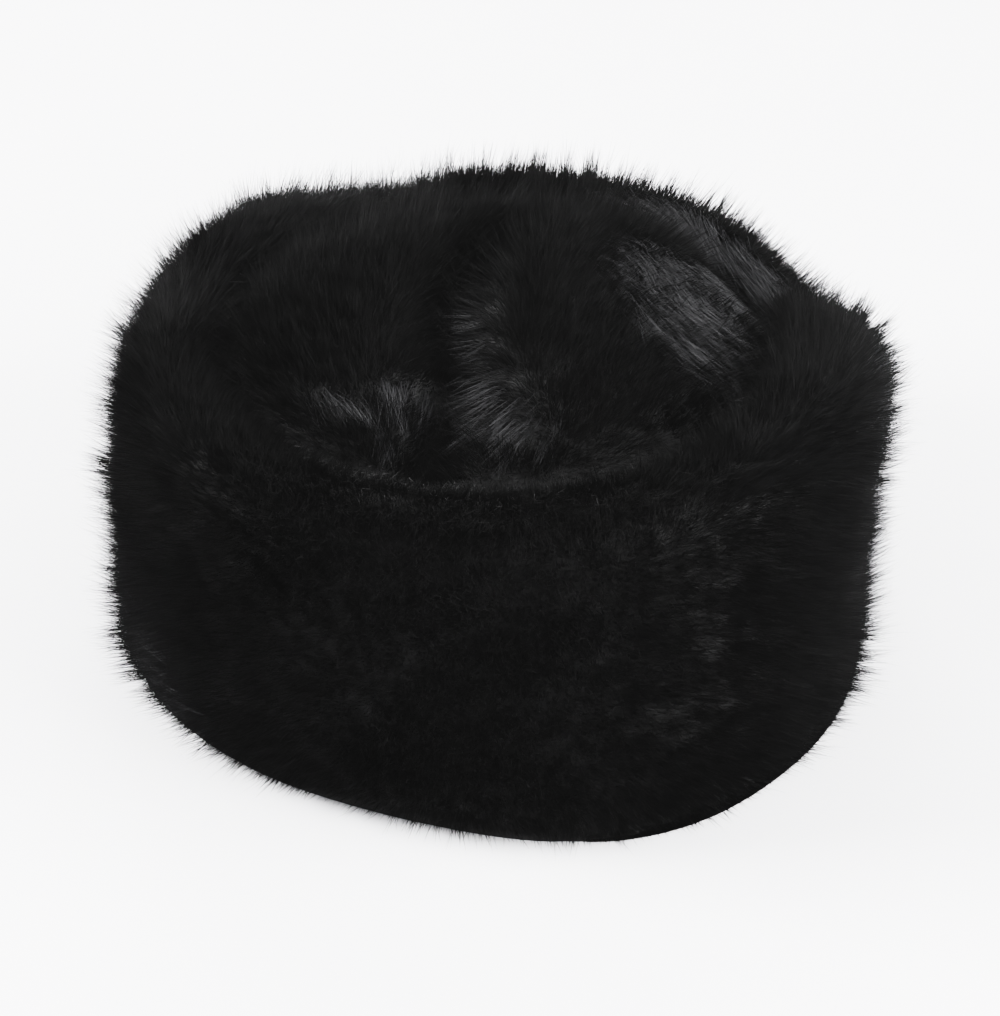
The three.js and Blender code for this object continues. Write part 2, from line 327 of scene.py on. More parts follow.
# How long it is, as a share of its kind's length
VALLEY_LENGTH = 1.05  # in the valley, and how much that falls towards the place round the hat
VALLEY_LENGTH_SWAY = 0.27  # where the valley lies open
VALLEY_OPEN = 262
FOOT_LENGTH = 0.5
CROWN_EDGE_LONGER = 0.15  # how much longer at the crown's edge, over the valley
SEAM_LONGER = 0.2  # and in the seam's groove towards the back
SHORTEST = 0.5
LONGEST = 1.2
LENGTH_SCATTER = 0.12
CLUMP_SCATTER = 0.16
CLUMP_FULLNESS = 1.5  # a clump's radius over the scatter of its hairs about the middle

# How unevenly it lies: swings are in radians, strays in the kind's own stray
NAP_WAVES = ((61, 0.16), (34, 0.13), (19, 0.09))  # wavelength in mm, swing
WAVES_EACH = 5
CLUMP_SWING = 0.2
HAIR_SWING = 0.09
LIFT_SCATTER = 0.12
FARTHEST_STRAY = 2
WIDTH_SCATTER = (0.7, 1.3)
COMBED_CALM = {"waves": 0.6, "clump": 0.7, "hair": 0.5, "stray": 0.6}  # how much less if combed

# Fades: the value at which each is nothing, and how far on from there it is full
BED_VALLEY_FADE = (VALLEY_RISE, -0.2)
BED_FOOT_FADE = (-0.035, 0.1)
CROWN_BED_FADE = (1.0, -0.12)
VALLEY_THIN_FADE = (1.15, 0.1)
VALLEY_LENGTH_FADE = (0.95, 0.15)
FOOT_FADE = (0.14, -0.14)
FRONT_SIDE_FADE = (0.5, 0.5)
FRONT_CREST_FADE = (1.28, -0.16)
CROWN_EDGE_FADE = (0.7, 0.2)
SEAM_BACK_FADE = (-20, 40)
LEVEL_FADE = (0, 0.5)

# Where roots are sown
CUFF_PARTS = 6
CUFF_ROOTS = (0.01, VALLEY_RISE - 0.08)  # from the foot's rise to the valley's
CROWN_ROOTS = (0.01, 0.93)  # from the crown's top to near the valley
SOWING_STEPS = (180, 80)  # cells round the hat and on along its surface
CUFF_SEED = 100
CROWN_SEED = 200
CUFF_WAVES_SEED = 11
CROWN_WAVES_SEED = 23
SQUARE_CM = 100.0  # in square mm

# Maps of a strand: its tone across, and its root to tip up. The second is a copy for baking.
STRAND_MAP = "strand"
FUR_MAPS = (STRAND_MAP, "OFBake")

# Materials of the hair: name, tones of its strands, tones from root to tip, roughness, specular.
# Underfur is crimped and matte. Guard hair has a smooth cuticle, and gleams where it is combed. The
# underfur's and guard hair's tones from root to tip are painted light: lighter roots against the
# shade deep in the pile, and darker tips where the pile is most lit. Combed hair is lightest along
# its middle.
HAIR_FINISHES = (
    (
        "black_rabbit_underfur_hair",
        ((0.0, "#292929"), (1.0, "#2d2d2d")),
        ((0.0, "#ffffff"), (0.5, "#d8d8d8"), (1.0, "#909090")),
        0.8,
        0.02,
    ),
    (
        "black_rabbit_guard_hair",
        ((0.0, "#1e1e1e"), (1.0, "#232323")),
        ((0.0, "#ffffff"), (0.5, "#d0d0d0"), (1.0, "#888888")),
        0.6,
        0.02,
    ),
    (
        "black_rabbit_combed_hair",
        ((0.0, "#1c1c1d"), (1.0, "#282829")),
        ((0.0, "#c0c0c0"), (0.5, "#ffffff"), (1.0, "#e0e0e0")),
        0.42,
        0.14,
    ),
)

# Camera, as the photograph was taken: a long lens looking down on the front from the right
PHOTO_WIDTH = 1000
PHOTO_HEIGHT = 1016
CAMERA_AZIMUTH = 11.0
CAMERA_ELEVATION = 35.5
CAMERA_DISTANCE = 1000.0
CAMERA_TARGET = (0.0, 0.0, 37.6)  # from the hat's middle
PIXELS_PER_MM = 2.89  # in the photograph, at the target's distance
SENSOR = 36.0
CAMERA_NEAR = 50.0

# Light: a surround that is brighter towards one side, and softboxes with their place and size in
# mm and their power. The first stands high behind and a little to the left, and gleams along
# combed hair. The others stand to the right and to the left, and lift the pile at the sides.
BRIGHT_SIDE = (-0.05, 0.85, 0.5)
BRIGHT_FROM = 0.2  # cosine of the angle to that side from which the surround is at its brightest
SURROUND_DIM = 0.75
SURROUND_BRIGHT = 1.5
SOFTBOXES = (
    ("high_softbox", (-350, 1320, 1720), 900, 24.0),
    ("right_softbox", (1500, -250, 800), 1500, 125.0),
    ("left_softbox", (-1600, -300, 1000), 800, 120.0),
)
LENS_VEIL = 0.0094  # glare that lifts the photograph's blacks, as a share of white
BOARD_HALF = 4000.0

# Grain of the materials: the size of its features, and how deep its bumps are
UNDERFUR_GRAIN = 1.1
UNDERFUR_BUMPS = 0.4
HIDE_MOTTLE = 22.0
HIDE_GRAIN = 1.0
HIDE_BUMPS = 0.25
BOARD_MOTTLE = 165.0


def hex_colour(text):
    """Linear RGBA of an sRGB hex colour."""
    channels = [int(text[i : i + 2], 16) / 255 for i in (1, 3, 5)]
    linear = [c / 12.92 if c <= 0.04045 else ((c + 0.055) / 1.055) ** 2.4 for c in channels]
    return (*linear, 1.0)


# Form


def smooth_step(t):
    """0 to 1 with level ends: three times t squared less twice t cubed."""
    t = np.clip(t, 0, 1)
    return t * t * (3 - 2 * t)


def faded(value, fade):
    """A fade at a value: 0 at its start and eased to 1 over its span."""
    start, span = fade
    return smooth_step((value - start) / span)


def oval(around, half_width, half_depth):
    """Distance from the middle to an oval: one over the length of (cos/width, sin/depth)."""
    turn = np.radians(around)
    return 1 / np.hypot(np.cos(turn) / half_width, np.sin(turn) / half_depth)


def ring_at(x, y, out):
    """How far out a place lies: 0 in the middle, and 1 on the head opening grown by out."""
    return np.hypot(x / (HEAD_HALF_WIDTH + out), y / (HEAD_HALF_DEPTH + out))


def dome_at(share, fullness):
    """A dome's height at a share of the way out, or its width at one of the way up: the root of
    one less the share's power, where a power of 2 gives a circle and a higher one is fuller."""
    return (1 - share**fullness) ** (1 / fullness)


def hide_edge(around):
    """Distance from the middle to the outside of the crown's wall."""
    return oval(around, HEAD_HALF_WIDTH + HIDE, HEAD_HALF_DEPTH + HIDE)


def section_value(column, around):
    """One column of the section table at any angle, by a closed Catmull-Rom curve."""
    values = np.array(CUFF_SECTIONS, float)[:, CUFF_COLUMNS.index(column)]
    count = len(values)
    place = np.mod(around, 360) / (360 / count)
    row = np.floor(place).astype(int)
    u = place - row
    a, b, c, d = (values[(row + k) % count] for k in (-1, 0, 1, 2))
    return b + 0.5 * u * (c - a + u * (2 * a - 5 * b + 4 * c - d + u * (3 * (b - c) + d - a)))


def dent_at(around, height):
    """Sum of the dents, each a bell of its depth over angle and height."""
    total = 0
    for dent_around, dent_height, wide, tall, deep in CUFF_DENTS:
        turn = np.mod(around - dent_around + 540, 360) - 180
        side = np.radians(turn) * DENT_RADIUS / wide
        total = total + deep * np.exp(-(side**2) - ((height - dent_height) / tall) ** 2)
    return total


def dome_share(around, height):
    """The dome's half width at a height, as a share of its width in the valley."""
    low = section_value("crest", around) - VALLEY_DEPTH
    up = np.clip((height - low) / (CROWN_TOP - low), 0, 1)
    return dome_at(up, CROWN_FULLNESS)


def polar_point(around, radius, height):
    """Points at angles, distances from the middle and heights."""
    turn = np.radians(around)
    return np.stack([radius * np.cos(turn), radius * np.sin(turn), height], -1)


def cuff_surface(around, rise):
    """The cuff's outside. A quarter of an oval runs from foot to belly, an eased line from belly
    to shoulder, a quarter of an oval over to the crest and another to its inner edge, and then
    the crown's own dome, a little clear of it, down to the valley."""
    around, rise = np.broadcast_arrays(np.asarray(around, float), np.asarray(rise, float))
    foot, belly, shoulder, crest = (section_value(c, around) for c in CUFF_COLUMNS)
    hide = hide_edge(around)
    crest_middle = hide + CREST_SHARE * (shoulder - hide)
    low_turn = np.clip(rise / BELLY_RISE, 0, 1) * np.pi / 2
    up = np.clip((rise - BELLY_RISE) / (SHOULDER_RISE - BELLY_RISE), 0, 1)
    top_turn = np.clip((rise - SHOULDER_RISE) / (1 - SHOULDER_RISE), 0, 1) * np.pi / 2
    parts = [rise < BELLY_RISE, rise < SHOULDER_RISE]
    radius = np.select(
        parts,
        [foot + (belly - foot) * np.sin(low_turn), belly + (shoulder - belly) * smooth_step(up)],
        shoulder + (crest_middle - shoulder) * (1 - np.cos(top_turn)),
    )
    height = np.select(
        parts,
        [
            BELLY_HEIGHT * crest * (1 - np.cos(low_turn)),
            crest * (BELLY_HEIGHT + (SHOULDER_HEIGHT - BELLY_HEIGHT) * up),
        ],
        crest * (SHOULDER_HEIGHT + (1 - SHOULDER_HEIGHT) * np.sin(top_turn)),
    )
    radius = radius + dent_at(around, height)
    edge_height = crest - CREST_INSET
    edge = hide * dome_share(around, edge_height) + CREST_CLEAR
    over_turn = np.clip((rise - 1) / (EDGE_RISE - 1), 0, 1) * np.pi / 2
    radius = radius + (edge - radius) * np.sin(over_turn)
    height = height - CREST_INSET * (1 - np.cos(over_turn))
    down = np.clip((rise - EDGE_RISE) / (VALLEY_RISE - EDGE_RISE), 0, 1)
    inner_height = edge_height + (CREST_INSET - VALLEY_DEPTH - CREST_CLEAR) * down
    inner = hide * dome_share(around, inner_height) + CREST_CLEAR
    radius = np.where(rise > EDGE_RISE, inner, radius)
    height = np.where(rise > EDGE_RISE, inner_height, height)
    return polar_point(around, radius, height)


def seam_at(y):
    """How far across the hat the seam lies: a cosine wave along the hat."""
    return SEAM_SHIFT - SEAM_SWAY * np.cos(2 * np.pi * y / SEAM_SWAY_LENGTH)


def on_side(x, y, side):
    """Whether a place lies on one side of the crown's seam, -1 for its left and 1 its right."""
    return (x - seam_at(y)) * side > 0


def crown_height(x, y):
    """Height of the crown's outside over a place: a dome, less the seam's bell-shaped groove."""
    ring = np.minimum(ring_at(x, y, HIDE), 1)
    low = section_value("crest", np.degrees(np.arctan2(y, x))) - VALLEY_DEPTH
    dome = dome_at(ring, CROWN_FULLNESS)
    back = np.clip(y / (2 * HEAD_HALF_DEPTH) + 0.5, 0, 1)
    deep = GROOVE_DEEP_FRONT + (GROOVE_DEEP_BACK - GROOVE_DEEP_FRONT) * back
    groove = deep * np.exp(-(((x - seam_at(y)) / GROOVE_WIDE) ** 2)) * (1 - ring**VALLEY_FADE)
    return np.maximum(low, low + (CROWN_TOP - low) * dome - groove)


def crown_surface(around, share):
    """The crown's outside: share 0 is its top and 1 the valley, spaced as a sine."""
    around, share = np.broadcast_arrays(np.asarray(around, float), np.asarray(share, float))
    radius = hide_edge(around) * np.sin(share * np.pi / 2)
    point = polar_point(around, radius, radius)
    point[..., 2] = crown_height(point[..., 0], point[..., 1])
    return point


def unit(vectors):
    """Vectors at length one."""
    return vectors / np.maximum(np.linalg.norm(vectors, axis=-1, keepdims=True), TINY)


def surface_frame(surface, around, share, turn_step=0.6, share_step=0.006):
    """Point, way round the hat, way on along the surface and outward normal, from neighbours."""
    point = surface(around, share)
    across = unit(surface(around + turn_step, share) - surface(around - turn_step, share))
    onward = unit(surface(around, share + share_step) - surface(around, share - share_step))
    normal = unit(np.cross(across, onward))
    return point, across, onward, normal


# Meshes


def add_object(name, mesh, material):
    """Links a mesh as an object at the origin, with its material."""
    mesh.materials.append(material)
    piece = bpy.data.objects.new(name, mesh)
    bpy.context.scene.collection.objects.link(piece)
    return piece


def mesh_from_arrays(name, points, corners, sizes, smooth=True):
    """A mesh from points in mm, the corners of its faces in one row, and each face's size."""
    mesh = bpy.data.meshes.new(name)
    mesh.vertices.add(len(points))
    mesh.vertices.foreach_set("co", (points * MM + CENTRE).astype(np.float32).ravel())
    mesh.loops.add(len(corners))
    mesh.loops.foreach_set("vertex_index", corners.astype(np.int32))
    mesh.polygons.add(len(sizes))
    starts = np.concatenate([[0], np.cumsum(sizes)[:-1]])
    mesh.polygons.foreach_set("loop_start", starts.astype(np.int32))
    mesh.polygons.foreach_set("use_smooth", np.full(len(sizes), smooth))
    mesh.update(calc_edges=True)
    mesh.validate()
    return mesh


def closed_grid(name, grid, close_rows, material):
    """A closed skin over a grid of points: each row is a loop, and the rows either close on the
    first again or end in rows that have shrunk to a line, whose doubles are merged."""
    rows, columns = grid.shape[:2]
    row = np.arange(rows if close_rows else rows - 1)[:, None]
    column = np.arange(columns)[None, :]
    next_row = (row + 1) % rows
    next_column = (column + 1) % columns
    faces = np.stack(
        [
            row * columns + column,
            next_row * columns + column,
            next_row * columns + next_column,
            row * columns + next_column,
        ],
        -1,
    ).reshape(-1, 4)
    mesh = mesh_from_arrays(name, grid.reshape(-1, 3), faces.ravel(), np.full(len(faces), 4))
    finish_skin(mesh)
    return add_object(name, mesh, material)


def finish_skin(mesh):
    """Merges doubles, drops faces without area and turns the faces outwards."""
    work = bmesh.new()
    work.from_mesh(mesh)
    bmesh.ops.remove_doubles(work, verts=work.verts, dist=MERGE_DISTANCE)
    bmesh.ops.dissolve_degenerate(work, edges=work.edges, dist=FLAT_DISTANCE)
    bmesh.ops.recalc_face_normals(work, faces=work.faces)
    work.to_mesh(mesh)
    work.free()


# Hide and underfur


def make_cuff_bed(material):
    """The cuff's bed of underfur: at each angle, its outside moved in along the normal, and
    closed by the flat foot and the wall against the crown."""
    around = np.linspace(0, 360, BED_STEPS_AROUND + 1)[:-1, None]
    rise = np.linspace(0, VALLEY_RISE, BED_STEPS_UP + 1)[None, :]
    point, _, _, normal = surface_frame(cuff_surface, around, rise)
    fade = faded(rise, BED_VALLEY_FADE) * faded(rise, BED_FOOT_FADE)
    skin = point - normal * (FUR_BED_DEPTH * fade[..., None])
    skin[..., 2] = np.maximum(skin[..., 2], 0)
    skin[:, 0, 2] = 0
    hide = hide_edge(around[:, 0]) + GAP
    valley = section_value("crest", around[:, 0]) - VALLEY_DEPTH - CREST_CLEAR
    wall = [polar_point(around[:, 0], hide, valley * share) for share in BED_WALL_SHARES]
    grid = np.concatenate([skin, np.stack(wall, 1)], 1)
    return closed_grid("cuff_underfur", grid, True, material)


def hollow_height(x, y, out):
    """Height of the hollow's dome over a place, with the whole hollow grown by out."""
    dome = dome_at(np.minimum(ring_at(x, y, out), 1), HOLLOW_FULLNESS)
    return HOLLOW_WALL_TOP + (HOLLOW_TOP + out - HOLLOW_WALL_TOP) * dome


def bed_height(x, y):
    """Height of the crown's bed of underfur: its outside, lowered away from the valley."""
    return crown_height(x, y) - FUR_BED_DEPTH * faded(ring_at(x, y, HIDE), CROWN_BED_FADE)


def half_dome(side, half_width, half_depth, height_at):
    """Rows of one half of the crown. Each row runs at one distance along the hat from the seam
    out to the oval edge, spaced as a sine, and down the wall."""
    turn = np.radians(np.linspace(-90, 90, CROWN_STEPS_ALONG + 1))
    y = half_depth * np.sin(turn)
    edge = side * half_width * np.cos(turn)
    seam = np.clip(seam_at(y) + side * SEAM_GAP, -abs(edge), abs(edge))
    out = np.sin(np.linspace(0, np.pi / 2, CROWN_STEPS_ACROSS + 1))
    x = seam[:, None] + (edge - seam)[:, None] * out
    y = np.broadcast_to(y[:, None], x.shape)
    dome = np.stack([x, y, height_at(x, y)], -1)
    wall = np.broadcast_arrays(edge[:, None], y[:, :1], np.array(CROWN_WALL_HEIGHTS))
    return np.concatenate([dome, np.stack(wall, -1)], 1)


def make_crown_half(name, side, outer, inner, material):
    """One closed shell of half the crown, between an outer and an inner form."""
    grid = np.concatenate([half_dome(side, *outer), half_dome(side, *inner)[:, ::-1]], 1)
    return closed_grid(name, grid, False, material)


def grown_hollow(out):
    """Half width, half depth and height of the hollow, grown by out."""
    return (
        HEAD_HALF_WIDTH + out,
        HEAD_HALF_DEPTH + out,
        lambda x, y: hollow_height(x, y, out),
    )


def make_crown_beds(bed_material, hide_material):
    """The hide of each half of the crown and the bed of underfur on it."""
    skin_in = grown_hollow(0)
    skin_out = grown_hollow(HIDE_SKIN)
    bed_in = grown_hollow(HIDE_SKIN + BED_CLEAR)
    bed_out = (HEAD_HALF_WIDTH + HIDE, HEAD_HALF_DEPTH + HIDE, bed_height)
    pieces = {}
    for name, side in CROWN_SIDES.items():
        pieces[name] = (
            make_crown_half(f"crown_{name}_underfur", side, bed_out, bed_in, bed_material),
            make_crown_half(f"crown_{name}_hide", side, skin_out, skin_in, hide_material),
        )
    return pieces


# Hair


def blended_heading(places, table_places, angles, reach):
    """Angle at each place: the unit vectors of the table's rows, weighted by a bell of their
    distance, are summed, and the sum's angle is taken."""
    sums = np.zeros((len(places), 2))
    for place, angle in zip(table_places, np.radians(angles)):
        gap = np.sum((places - place) ** 2, -1) / reach**2
        weight = np.exp(-gap) + TINY
        sums += weight[:, None] * np.array([np.cos(angle), np.sin(angle)])
    return np.arctan2(sums[:, 1], sums[:, 0])


def cuff_nap(around, rise):
    """Turn of the cuff's nap. Places are compared in mm along the surface, on both sides of the
    table's start, so that the nap closes round the hat."""
    rows = np.array(CUFF_NAP, float)
    turns = np.concatenate([rows[:, 0] + 360 * k for k in (-1, 0, 1)])
    girth = np.radians(1) * CUFF_GIRTH_RADIUS
    stretch = NAP_REACH_AROUND / NAP_REACH_UP
    table = np.stack([turns * girth, np.tile(rows[:, 1], 3) * CUFF_RISE_LENGTH * stretch], -1)
    places = np.stack([np.mod(around, 360) * girth, rise * CUFF_RISE_LENGTH * stretch], -1)
    return blended_heading(places, table, np.tile(rows[:, 2], 3), NAP_REACH_AROUND)


def wave_noise(points, seed):
    """A smooth scatter over space: for each wavelength, sine waves in a few seeded directions."""
    rng = np.random.default_rng(seed)
    total = np.zeros(len(points))
    for length, swing in NAP_WAVES:
        for _ in range(WAVES_EACH):
            direction = unit(rng.normal(size=3))
            phase = rng.uniform(0, 2 * np.pi)
            total += swing * np.sin(points @ direction * 2 * np.pi / length + phase)
    return total


def sample_surface(surface, around_span, share_span, density, rate, rng):
    """Places on a surface, so many to the square mm: small cells are drawn by their area times
    the density, and a place is taken inside each."""
    around = np.linspace(*around_span, SOWING_STEPS[0] + 1)
    share = np.linspace(*share_span, SOWING_STEPS[1] + 1)
    grid = surface(around[:, None], share[None, :])
    across = grid[1:, :-1] - grid[:-1, :-1]
    onward = grid[:-1, 1:] - grid[:-1, :-1]
    area = np.linalg.norm(np.cross(across, onward), axis=-1)
    middle_around = (around[1:] + around[:-1])[:, None] / 2
    middle_share = (share[1:] + share[:-1])[None, :] / 2
    weight = (area * density(middle_around, middle_share)).ravel()
    count = int(weight.sum() * rate)
    cells = rng.choice(len(weight), size=count, p=weight / weight.sum())
    row, column = np.divmod(cells, len(share) - 1)
    step_around = around[1] - around[0]
    step_share = share[1] - share[0]
    return (
        around[row] + step_around * rng.random(count),
        share[column] + step_share * rng.random(count),
    )


def calmed(swing, name, lie):
    """A scatter, smaller by its share of calm the more the hair lies combed."""
    return swing * (1 - COMBED_CALM[name] * lie)


def blend_pair(pair, share):
    """A value between the two of a pair."""
    return pair[0] + (pair[1] - pair[0]) * share


def grow_hair(kind, roots, rng):
    """Points, widths, flat directions and tones of one kind of hair. A clump's spine leaves the
    skin at the root's lift and bends to the tip's lift along the nap: each step along it is the
    cosine of the lift along the nap plus its sine along the normal, drawn level by the kind's
    share. A hair keeps its offset from the spine, drawn in towards the tip, and strays a
    little."""
    point, normal, nap, shorter, lie = roots
    clumps = len(point)
    in_clump = kind["clump"]
    steps = kind["points"]
    count = clumps * in_clump
    side = np.cross(normal, nap)
    swing = calmed(rng.normal(0, CLUMP_SWING, clumps), "clump", lie)[:, None]
    nap = unit(nap * np.cos(swing) + side * np.sin(swing))
    side = np.cross(normal, nap)
    point, normal, nap, side = (np.repeat(v, in_clump, 0) for v in (point, normal, nap, side))
    lie = np.repeat(lie, in_clump)
    length = blend_pair(kind["length"], lie) * np.repeat(shorter, in_clump)
    uneven = np.repeat(rng.normal(0, CLUMP_SCATTER, clumps), in_clump)
    length *= (1 + uneven + rng.normal(0, LENGTH_SCATTER, count)).clip(SHORTEST, LONGEST)
    offset = rng.normal(0, kind["clump_radius"] / CLUMP_FULLNESS, (count, 2))
    stray = rng.normal(0, 1, (count, 3)).clip(-FARTHEST_STRAY, FARTHEST_STRAY)
    stray *= calmed(kind["stray"], "stray", lie)[:, None]
    swing = calmed(rng.normal(0, HAIR_SWING, count), "hair", lie)[:, None]
    heading = unit(nap * np.cos(swing) + side * np.sin(swing))
    standing, lying = kind["lift"]
    root_lift, tip_lift = (np.radians(blend_pair(pair, lie)) for pair in zip(standing, lying))
    lift_scatter = rng.normal(0, LIFT_SCATTER, count)
    along = np.linspace(0, 1, steps)
    level = unit(heading[:, :2])
    level = unit(np.column_stack([level, COMBED_DIP * level[:, 1]]))
    spine = point - normal * ROOT_SINK
    points = np.empty((count, steps, 3))
    for step, share in enumerate(along):
        if step:
            middle = (share + along[step - 1]) / 2
            lift = root_lift + (tip_lift - root_lift) * middle**LIFT_BEND + lift_scatter
            ahead = heading * np.cos(lift)[:, None] + normal * np.sin(lift)[:, None]
            drawn = kind["level"] * faded(middle, LEVEL_FADE)
            ahead = unit(ahead * (1 - drawn) + level * drawn)
            spine = spine + ahead * (length / (steps - 1))[:, None]
        loose = 1 - kind["crowd"] * share
        points[:, step] = (
            spine
            + nap * (offset[:, :1] * loose)
            + side * (offset[:, 1:] * loose)
            + stray * share**2
        )
    points[..., 2] = np.maximum(points[..., 2], LOWEST_HAIR)
    width = kind["width"] * rng.uniform(*WIDTH_SCATTER, count)
    twist = np.radians(rng.normal(0, kind["twist"], count))
    flat = side * np.cos(twist)[:, None] + normal * np.sin(twist)[:, None]
    return points, width, flat, rng.random(count)


def ribbon_arrays(points, width, flat, tone):
    """Each strand as a flat ribbon that tapers to a point: two points at each step, set to both
    sides of it. The ribbon's width runs along its flat direction, made square to the strand."""
    count, steps = points.shape[:2]
    forward = unit(np.gradient(points, axis=1))
    out = flat[:, None, :] - forward * np.sum(flat[:, None, :] * forward, -1, keepdims=True)
    along = np.linspace(0, 1, steps)
    half = width[:, None] / 2 * (1 - along**2)[None, :]
    edge = unit(out) * half[..., None]
    pairs = np.stack([points - edge, points + edge], 2)[:, :-1].reshape(count, -1, 3)
    corners = np.concatenate([pairs, points[:, -1:]], 1)
    on_strand = corners.shape[1]
    quads = [(2 * k, 2 * k + 1, 2 * k + 3, 2 * k + 2) for k in range(steps - 2)]
    faces = np.array([*sum(quads, ()), on_strand - 3, on_strand - 2, on_strand - 1])
    sizes = np.array([4] * len(quads) + [3])
    index = (np.arange(count) * on_strand)[:, None] + faces
    level = np.append(np.repeat(along[:-1], 2), 1.0)
    u = np.broadcast_to(tone[:, None], (count, on_strand))
    v = np.broadcast_to(level, (count, on_strand))
    uv = np.stack([u, v], -1)[:, faces]
    return corners.reshape(-1, 3), index.ravel(), np.tile(sizes, count), uv.reshape(-1, 2)


def make_hair_piece(name, sets, materials):
    """One mesh of strand sets, each with its material's slot, and with UV maps of tone across
    and root to tip up."""
    ribbons = [ribbon_arrays(*strands) for _, strands in sets]
    points, corners, sizes, uvs = zip(*ribbons)
    starts = np.cumsum([0] + [len(part) for part in points[:-1]])
    corners = [part + start for part, start in zip(corners, starts)]
    slots = [np.full(len(part), slot) for part, (slot, _) in zip(sizes, sets)]
    mesh = mesh_from_arrays(
        name, np.concatenate(points), np.concatenate(corners), np.concatenate(sizes)
    )
    for map_name in FUR_MAPS:
        layer = mesh.uv_layers.new(name=map_name)
        layer.data.foreach_set("uv", np.concatenate(uvs).astype(np.float32).ravel())
    piece = add_object(name, mesh, materials[0])
    for material in materials[1:]:
        mesh.materials.append(material)
    mesh.polygons.foreach_set("material_index", np.concatenate(slots).astype(np.int32))
    return piece


def gleam_at(gap_from, table):
    """How much the hair gleams: the largest bell of any row of a table. gap_from gives the gaps
    in mm, both ways, from a row's middle, and they are turned by the row's turn."""
    most = 0
    for *middle, reach, reach_across, turn, strength in table:
        turn = np.radians(turn)
        first, second = gap_from(*middle)
        along = first * np.cos(turn) + second * np.sin(turn)
        across = second * np.cos(turn) - first * np.sin(turn)
        square = (along / reach) ** 2 + (across / reach_across) ** 2
        most = np.maximum(most, strength * np.exp(-(square**GLEAM_EDGE)))
    return most


def cuff_gleam(around, rise):
    """Gleam of the cuff's hair, with gaps in mm along the surface."""

    def gap_from(middle_around, middle_rise):
        turn = np.mod(around - middle_around + 180, 360) - 180
        girth = np.radians(1) * CUFF_GIRTH_RADIUS
        return turn * girth, (rise - middle_rise) * CUFF_RISE_LENGTH

    return gleam_at(gap_from, CUFF_GLEAMS)


def crown_gleam(around, share, side):
    """Gleam of the hair on one side of the crown's seam."""
    place = crown_surface(around, share)
    x, y = place[..., 0], place[..., 1]
    rows = [row for row in CROWN_GLEAMS if on_side(*row[:2], side)]
    gleam = gleam_at(lambda middle_x, middle_y: (x - middle_x, y - middle_y), rows)
    return gleam * on_side(x, y, side)


def kind_density(kind, gleam):
    """How thickly a kind of hair grows where the fur gleams so much."""
    thickness = {
        "all": 1 - UNDERFUR_THINNED * gleam,
        "standing": 1 - gleam,
        "combed": gleam**2,
    }
    return thickness[kind["where"]]


def clump_rate(kind):
    """Clumps of a kind of hair to the square mm."""
    return kind["rate"] / kind["clump"] / SQUARE_CM


def cuff_roots(kind, part, rng):
    """Root points, normals, nap, lengths and lie of the clumps on one part of the cuff."""

    def density(around, rise):
        thinned = 1 - VALLEY_THINNED * faded(rise, VALLEY_THIN_FADE)
        return thinned * kind_density(kind, cuff_gleam(around, rise))

    span = (part * 360 / CUFF_PARTS, (part + 1) * 360 / CUFF_PARTS)
    around, rise = sample_surface(cuff_surface, span, CUFF_ROOTS, density, clump_rate(kind), rng)
    point, across, onward, normal = surface_frame(cuff_surface, around, rise)
    gleam = cuff_gleam(around, rise)
    turn = cuff_nap(around, rise) + calmed(wave_noise(point, CUFF_WAVES_SEED), "waves", gleam)
    nap = across * np.cos(turn)[:, None] + onward * np.sin(turn)[:, None]
    point = point - normal * FUR_BED_DEPTH
    open_share = np.cos(np.radians(around - VALLEY_OPEN))
    valley_length = VALLEY_LENGTH - VALLEY_LENGTH_SWAY * open_share
    shorter = 1 + (valley_length - 1) * faded(rise, VALLEY_LENGTH_FADE)
    shorter *= 1 - (1 - FOOT_LENGTH) * faded(rise, FOOT_FADE)
    front = FRONT_SHARE * faded(np.cos(np.radians(around - FRONT_AROUND)), FRONT_SIDE_FADE)
    front = (front * faded(rise, FRONT_CREST_FADE) * (1 - gleam))[:, None]
    normal = unit(normal * (1 - front) + unit(np.array(FRONT_LEAN)) * front)
    nap = unit(nap - normal * np.sum(nap * normal, -1, keepdims=True))
    return point, normal, nap, shorter, gleam


def crown_roots(kind, side, rng):
    """Root points, normals, nap, lengths and lie of the clumps on one half of the crown."""

    def density(around, share):
        return kind_density(kind, crown_gleam(around, share, side))

    span = (0, 360)
    around, share = sample_surface(
        crown_surface, span, CROWN_ROOTS, density, clump_rate(kind), rng
    )
    point, _, _, normal = surface_frame(crown_surface, around, share)
    normal = np.where(normal[:, 2:] < 0, -normal, normal)
    mine = on_side(point[:, 0], point[:, 1], side)
    around, share, point, normal = (v[mine] for v in (around, share, point, normal))
    gleam = crown_gleam(around, share, side)
    rows = np.array(CROWN_NAP, float)
    rows = rows[on_side(rows[:, 0], rows[:, 1], side)]
    heading = blended_heading(point[:, :2], rows[:, :2], rows[:, 2], CROWN_NAP_REACH)
    heading = heading + calmed(wave_noise(point, CROWN_WAVES_SEED), "waves", gleam)
    level = np.stack([np.cos(heading), np.sin(heading), np.zeros(len(heading))], -1)
    nap = unit(level - normal * np.sum(level * normal, -1, keepdims=True))
    depth = FUR_BED_DEPTH * faded(share, CROWN_BED_FADE)
    shorter = 1 + CROWN_EDGE_LONGER * faded(share, CROWN_EDGE_FADE)
    seam_side = (point[:, 0] - seam_at(point[:, 1])) / GROOVE_WIDE
    back = faded(point[:, 1], SEAM_BACK_FADE)
    shorter *= 1 + SEAM_LONGER * back * np.exp(-(seam_side**2))
    point = point - normal * depth[:, None]
    return point, normal, nap, shorter, CROWN_LIE + (1 - CROWN_LIE) * gleam


